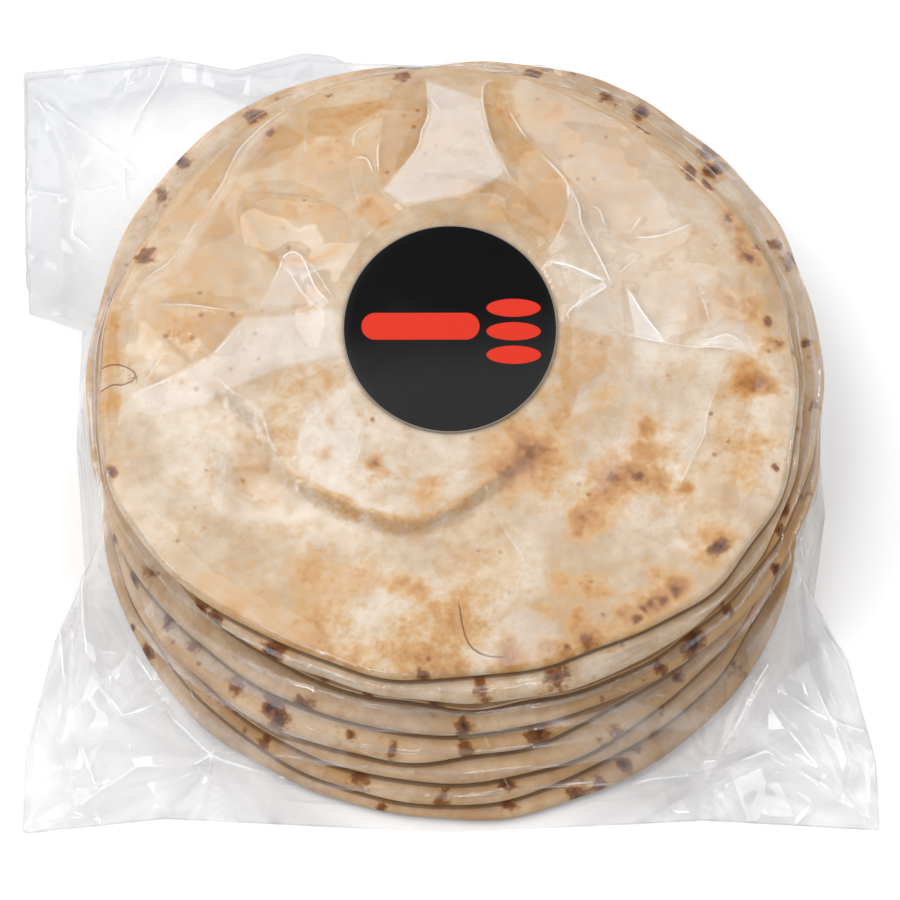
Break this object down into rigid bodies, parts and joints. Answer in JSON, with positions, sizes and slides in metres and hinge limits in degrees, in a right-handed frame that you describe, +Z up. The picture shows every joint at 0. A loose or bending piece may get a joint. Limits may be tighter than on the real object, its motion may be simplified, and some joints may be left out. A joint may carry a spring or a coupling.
{
  "type": "bagged stack of pita breads",
  "caption": "Stack of round pita breads lying flat in a clear plastic bag, with two low front corners, a flat folded tail at the back left and a round dark label on top.",
  "frame": {"origin": "middle of the bag's footprint, on the surface it lies on", "axes": "+X to the right of the label's reading side, +Y to the back, where the bag's tail lies, +Z up through the stack"},
  "size_m": [0.262, 0.2597, 0.0711],
  "materials": {
    "film": "clear glossy plastic film",
    "label": "glossy black paper label"
  },
  "bodies": {
    "root": {"bag": "film", "label": "label"}
  },
  "joints": []
}
